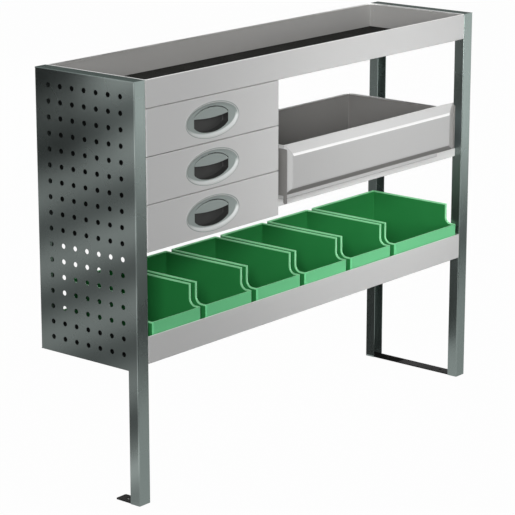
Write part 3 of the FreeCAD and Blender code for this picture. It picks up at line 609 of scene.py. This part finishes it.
def makeBin(name, node, look):
    lo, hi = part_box(node)
    lip = lo.z + look["lipHeight"] * mm
    stepY = lo.y + look["stepDepth"] * mm
    radius = look["stepRadius"] * mm
    # side outline, drawn from the front lip down, back, up and round the step
    path = ((lo.y, lip), (lo.y, lo.z), (hi.y, lo.z), (hi.y, hi.z), (stepY, hi.z), (stepY, lip + radius))
    made = drawOutline(name, lo.x, path)
    bpy.ops.mesh.spin(steps=look["arcSteps"], angle=math.pi / 2, axis=(1, 0, 0),
                      center=(lo.x, stepY - radius, lip + radius))
    bpy.ops.mesh.select_all(action="SELECT")
    bpy.ops.mesh.remove_doubles(threshold=near)
    pick("VERT", lambda vert: len(vert.link_edges) == 1)
    bpy.ops.mesh.edge_face_add()
    bpy.ops.mesh.select_all(action="SELECT")
    bpy.ops.mesh.edge_face_add()
    pull((hi.x - lo.x, 0, 0))
    evenNormals()
    deleteFaces(lambda face: abs(face.normal.x) < mostly and middle(face).z > lip - near
                and not lies(face, axisY, hi.y))
    bevelEdges(lambda edge: lies(edge, axisZ, lo.z) or (runsAlong(edge, axisZ) and (
        lies(edge, axisY, lo.y) or lies(edge, axisY, hi.y))), look["corner"], look["segments"])
    dress(made, "deepGreenPlastic", "paintedLitGreenEdge", "paintedLitGreenFront")
    evenNormals()
    pick("FACE", lambda face: True)
    # painted light on the lips: a rim round every face
    bpy.ops.mesh.inset(thickness=look["rim"] * mm, depth=0, use_boundary=True, use_even_offset=True)
    bpy.ops.mesh.select_all(action="INVERT")
    made.active_material_index = rimPaint
    bpy.ops.object.material_slot_assign()
    closeEdit()
    thicken(made, look["wall"])
    softenEdges(made, look["edge"], material=rimPaint)
    # painted light on the front faces
    paintFaces(made, 2, lambda face: middle(face).y < lo.y + look["corner"] * mm and face.normal.y < -mostly)
    return made


firstBin = makeBin("bin1", "bin_1", binLook)
binPlaces = {number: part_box("bin_%d" % number)[0] for number in range(1, 7)}
for number in range(2, 6):
    twin = copyPiece(firstBin, "bin%d" % number, binPlaces[number] - binPlaces[1])
    hang(twin, "bin_%d" % number, "bin_%d" % number)
hang(firstBin, "bin_1", "bin_1")
hang(makeBin("bin6", "bin_6", binLook), "bin_6", "bin_6")
print("bins moulded")


# Drawer handles: oval dish with a pocket, and the paddle above it

dishLook = {
    # half width, half height and depth behind the drawer front of each ring
    "rings": ((96, 44, 0.3), (95.7, 43.7, -0.3), (95, 43, -0.55), (94.2, 42.2, -0.5), (93.2, 41.2, -0.1),
              (92, 40, 0.6), (90.5, 38.5, 1.45), (89, 37, 2.3), (87.5, 35.6, 3.05), (86, 34.3, 3.6),
              (84, 33.2, 3.9), (80, 32.4, 4.05), (74, 31.6, 4.1), (67, 31, 4.15)),
    "points": 96, "landX": 61, "landDrop": 0.1, "wall": 1.0,
    # shrink and depth of each ring down the pocket
    "cup": ((1.0, 20.4), (0.985, 21.5), (0.965, 22.0)),
    # width, depth, height and rise of the latch arm's slot
    "slot": (16, 8, 14, 18),
    "earWidth": 5, "earReach": 4.5, "earDrop": 2.5, "earRound": 1.2, "earSegments": 3,
    # the painted shade starts this far behind the front and ends this far up
    "pocketTone": 4.8, "pocketTop": 14,
}


def makeDish(name, drawer, look):
    lo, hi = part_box(drawer + "_handle_bezel")
    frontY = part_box(drawer + "_drawer_front")[0].y
    centre = Vector(((lo.x + hi.x) / 2, frontY, (lo.z + hi.z) / 2))
    dish = newPiece(name, bpy.ops.mesh.primitive_circle_add, vertices=look["points"], radius=1,
                    location=centre, rotation=(math.pi / 2, 0, 0))
    width, height, depth = look["rings"][0]
    bpy.ops.transform.resize(value=(width * mm, 1, height * mm), center_override=centre)
    bpy.ops.transform.translate(value=(0, depth * mm, 0))
    for ringWidth, ringHeight, ringDepth in look["rings"][1:]:
        pull((0, (ringDepth - depth) * mm, 0))
        bpy.ops.transform.resize(value=(ringWidth / width, 1, ringHeight / height), center_override=centre)
        width, height, depth = ringWidth, ringHeight, ringDepth
    # flat lands left and right of the pocket mouth
    mouth = depth + look["landDrop"]
    mouthY = centre.y + mouth * mm
    pull((0, (mouth - depth) * mm, 0))
    for side in (-1, 1):
        landX = centre.x + side * look["landX"] * mm
        pick("VERT", lambda vert: lies(vert, axisY, mouthY) and side * (vert.co.x - landX) > 0)
        bpy.ops.transform.resize(value=(0, 1, 1), center_override=(landX, 0, 0))
    pick("EDGE", lambda edge: lies(edge, axisY, mouthY))
    depth = mouth
    for shrink, ringDepth in look["cup"]:
        pull((0, (ringDepth - depth) * mm, 0))
        bpy.ops.transform.resize(value=(shrink, 1, shrink), center_override=centre)
        depth = ringDepth
    bpy.ops.mesh.edge_face_add()
    closeEdit()
    return dish, centre, centre.y + depth * mm


def addPinEars(drawer, floorY, look):
    pinLo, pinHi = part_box(drawer + "_paddle_pin")
    ears = []
    for x in (pinLo.x, pinHi.x - look["earWidth"] * mm):
        lo = Vector((x, (pinLo.y + pinHi.y) / 2 - look["earReach"] * mm, pinLo.z - look["earDrop"] * mm))
        hi = Vector((x + look["earWidth"] * mm, floorY + look["wall"] * mm, pinHi.z + look["earDrop"] * mm))
        ear = newBox("dishEar", lo, hi)
        bevelEdges(lambda edge: lies(edge, axisY, lo.y), look["earRound"], look["earSegments"])
        closeEdit()
        # painted shade on the ears inside the pocket
        dress(ear, "paintedShadePocketPlastic")
        ears.append(ear)
    return ears


def finishDish(dish, drawer, centre, floorY, look):
    thicken(dish, look["wall"], even=False)
    # slot in the back of the cup for the latch arm
    *slotSize, slotRise = look["slot"]
    half = Vector(slotSize) / 2 * mm
    slotMiddle = Vector((centre.x, floorY, centre.z + slotRise * mm))
    cutter = newBox("armSlot", slotMiddle - half, slotMiddle + half)
    closeEdit()
    selectOnly(dish)
    applyModifier(dish, "BOOLEAN", operation="DIFFERENCE", object=cutter, solver="EXACT")
    bpy.data.objects.remove(cutter)
    dress(dish, "paintedLightGreyPlastic", "paintedShadePocketPlastic")
    # painted shade on the cup floor and in the pocket below pocketTop
    pocketY = centre.y + look["pocketTone"] * mm
    pocketTop = centre.z + look["pocketTop"] * mm
    paintFaces(dish, 1, lambda face: lies(face, axisY, floorY)
               or (middle(face).y > pocketY and middle(face).z < pocketTop))
    joinInto(dish, addPinEars(drawer, floorY, look))


def makePaddle(name, drawer, look):
    # the CAD paddle with its loose triangles merged and its edges softened
    node = nodes[drawer + "_handle_paddle"]
    paddle = copyPiece(node, name, (0, 0, 0))
    paddle.parent = None
    for key in list(paddle.keys()):  # the node's own marks
        del paddle[key]
    bpy.ops.object.mode_set(mode="EDIT")
    bpy.ops.mesh.select_mode(type="VERT")
    bpy.ops.mesh.select_all(action="SELECT")
    bpy.ops.mesh.remove_doubles(threshold=look["weld"] * mm)
    bpy.ops.mesh.dissolve_limited(angle_limit=math.radians(look["flatAngle"]))
    closeEdit()
    softenEdges(paddle, look["edge"])
    dress(paddle, "greenGreyPlastic")
    return paddle


paddleLook = {"edge": 0.7, "weld": 0.005, "flatAngle": 1}
dish, dishCentre, cupFloor = makeDish("upperHandleDish", "upper", dishLook)
finishDish(dish, "upper", dishCentre, cupFloor, dishLook)
paddle = makePaddle("upperHandlePaddle", "upper", paddleLook)
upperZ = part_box("upper_handle_bezel")[0].z
for drawer in ("middle", "lower"):
    move = Vector((0, 0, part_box(drawer + "_handle_bezel")[0].z - upperZ))
    hang(copyPiece(dish, drawer + "HandleDish", move), drawer + "_handle_bezel", drawer + "_drawer")
    hang(copyPiece(paddle, drawer + "HandlePaddle", move), drawer + "_handle_paddle", drawer + "_paddle")
hang(dish, "upper_handle_bezel", "upper_drawer")
hang(paddle, "upper_handle_paddle", "upper_paddle")
print("handles made")


# Leaf springs behind the drawer fronts, which push the latch arms up

springLook = {
    "sheet": 0.6, "edge": 0.12,
    # millimetres behind the wall and above the foot
    "path": ((0, 0), (0, 8), (0.2, 9.6), (0.7, 11.2), (1.6, 13.3), (2.5, 15.4), (3.4, 17.5), (4.3, 19.6),
             (5.1, 21.7), (5.6, 23.0), (6.0, 23.7), (6.6, 24)),
    # heights handed to hang as the spring's bend; hang does not read them, so the spring does not bend
    "bendRise": (8, 21.5),
}


def makeSpring(name, drawer, look):
    lo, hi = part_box(drawer + "_latch_spring")
    spring = drawOutline(name, lo.x, [(lo.y + back * mm, lo.z + rise * mm) for back, rise in look["path"]])
    bpy.ops.mesh.select_all(action="SELECT")
    pull((hi.x - lo.x, 0, 0))
    closeEdit()
    thicken(spring, look["sheet"])
    softenEdges(spring, look["edge"])
    dress(spring, "zincPlatedSteel")
    return spring


def hangSpring(spring, drawer, look):
    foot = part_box(drawer + "_latch_spring")[0]
    start, end = [foot + Vector((0, 0, rise * mm)) for rise in look["bendRise"]]
    hang(spring, drawer + "_latch_spring", drawer + "_drawer",
         bend={"with": drawer + "_paddle", "start": start, "end": end})


spring = makeSpring("upperLatchSpring", "upper", springLook)
for drawer in ("middle", "lower"):
    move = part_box(drawer + "_latch_spring")[0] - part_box("upper_latch_spring")[0]
    hangSpring(copyPiece(spring, drawer + "LatchSpring", move), drawer, springLook)
hangSpring(spring, "upper", springLook)
print("latch springs bent")


# Floor, world, lamps and camera

def backgroundRays(tree):
    # 1 for the rays that see the white paper: camera, mirror and glass rays
    rays = addNode(tree, "ShaderNodeLightPath")
    seen = rays.outputs["Is Camera Ray"]
    for kind in ("Is Glossy Ray", "Is Transmission Ray"):
        both = addNode(tree, "ShaderNodeMath", settings={"operation": "MAXIMUM"},
                       links={0: seen, 1: rays.outputs[kind]})
        seen = both.outputs["Value"]
    return seen


floorLook = {"size": 40, "sink": 0.2, "colour": "#6c6c6c", "white": 0.985}


def makeFloor(look):
    bpy.ops.object.select_all(action="DESELECT")
    bpy.ops.mesh.primitive_plane_add(size=look["size"], location=(0, 0, -look["sink"] * mm))
    floor = bpy.context.active_object
    floor.name = "studioFloor"
    material, tree = emptyMaterial("paleStudioPaper")
    paper = addNode(tree, "ShaderNodeBsdfDiffuse", sockets={"Color": linearColour(look["colour"])})
    glow = addNode(tree, "ShaderNodeEmission", sockets={"Color": (1, 1, 1, 1), "Strength": 1.0})
    # white to the camera, with a little of the paper so that the shadow shows
    soft = addNode(tree, "ShaderNodeMixShader", sockets={"Fac": look["white"]},
                   links={1: paper.outputs["BSDF"], 2: glow.outputs["Emission"]})
    seen = addNode(tree, "ShaderNodeMixShader",
                   links={"Fac": backgroundRays(tree), 1: paper.outputs["BSDF"], 2: soft.outputs["Shader"]})
    addNode(tree, "ShaderNodeOutputMaterial", links={"Surface": seen.outputs["Shader"]})
    floor.data.materials.append(material)


worldLook = {"fill": 0.08, "white": 1.0}


def makeWorld(look):
    world = bpy.data.worlds.new("studioWorld")
    bpy.context.scene.world = world
    world.use_nodes = True
    tree = world.node_tree
    tree.nodes.clear()
    strength = addNode(tree, "ShaderNodeMapRange", links={"Value": backgroundRays(tree)},
                       sockets={"To Min": look["fill"], "To Max": look["white"]})
    sky = addNode(tree, "ShaderNodeBackground", sockets={"Color": (1, 1, 1, 1)},
                  links={"Strength": strength.outputs["Result"]})
    addNode(tree, "ShaderNodeOutputWorld", links={"Surface": sky.outputs["Background"]})


lamps = {
    "keySoftbox": {"place": (-3.9, -3.0, 2.3), "aim": (0, 0, 0.6), "size": (1.4, 1.4), "spread": 180,
                   "power": 195},
    "gridSoftbox": {"place": (-0.4, -1.7, 1.0), "aim": (0.6, -0.15, 0.65), "size": (0.8, 0.8), "spread": 65,
                    "power": 4},
    "rearSoftbox": {"place": (3.3, 3.9, 2.4), "aim": (0, 0, 0.6), "size": (1.6, 1.6), "spread": 180,
                    "power": 230, "mirrored": False},
}


def makeLamp(name, look):
    bpy.ops.object.select_all(action="DESELECT")
    bpy.ops.object.light_add(type="AREA", location=look["place"])
    lamp = bpy.context.active_object
    lamp.name = name
    lamp.rotation_euler = (Vector(look["aim"]) - Vector(look["place"])).to_track_quat("-Z", "Y").to_euler()
    lamp.data.shape = "RECTANGLE"
    lamp.data.size, lamp.data.size_y = look["size"]
    lamp.data.spread = math.radians(look["spread"])
    lamp.data.energy = look["power"]
    lamp.visible_camera = False
    lamp.visible_glossy = look.get("mirrored", True)


# cards that only mirrors see: they put the dark bands into the metal-flake coat
cards = {
    "blackFrontCard": {"place": (-0.2, -1.5, 0.004), "size": (3.9, 1.35), "tone": 0.01},
    "blackSideCard": {"place": (2.75, -1.15, 0.004), "size": (2.0, 0.75), "tone": 0.01},
    "whiteFrontCard": {"place": (5.2, -3.55, 0.004), "size": (5.6, 4.0), "tone": 2.2},
    "greyRearCard": {"place": (-2.55, 2.18, 0.004), "size": (3.7, 4.25), "tone": 0.34},
    "blackUprightCard": {"place": (-1.15, 0.91, 1.1), "size": (0.96, 0.98), "tone": 0.02, "upright": True},
    "blackRearCard": {"place": (0.1, 2.18, 0.004), "size": (1.6, 4.25), "tone": 0.05},
}


def makeCard(name, look):
    bpy.ops.object.select_all(action="DESELECT")
    bpy.ops.mesh.primitive_plane_add(size=1, location=look["place"])
    card = bpy.context.active_object
    card.name = name
    card.scale = (*look["size"], 1)
    if look.get("upright"):
        card.rotation_euler.y = math.pi / 2
    material, tree = emptyMaterial(name)
    tone = addNode(tree, "ShaderNodeEmission", sockets={"Strength": look["tone"]})
    addNode(tree, "ShaderNodeOutputMaterial", links={"Surface": tone.outputs["Emission"]})
    card.data.materials.append(material)
    card.visible_camera = False
    card.visible_diffuse = False
    card.visible_shadow = False


cameraLook = {"place": (-4.3366, -3.566, 1.9395), "azimuth": 50.2, "elevation": -14.9, "lens": 158.8,
              "sensor": 36}


def makeCamera(look):
    bpy.ops.object.select_all(action="DESELECT")
    turn = (math.radians(90 + look["elevation"]), 0, -math.radians(look["azimuth"]))
    bpy.ops.object.camera_add(location=look["place"], rotation=turn)
    camera = bpy.context.active_object
    camera.name = "photoCamera"
    camera.data.lens = look["lens"]
    camera.data.sensor_width = look["sensor"]
    camera.data.dof.use_dof = False
    bpy.context.scene.camera = camera


makeFloor(floorLook)
makeWorld(worldLook)
for lampName, lampLook in lamps.items():
    makeLamp(lampName, lampLook)
for cardName, cardLook in cards.items():
    makeCard(cardName, cardLook)
makeCamera(cameraLook)
bpy.context.scene.view_settings.view_transform = "Standard"
print("stage set")
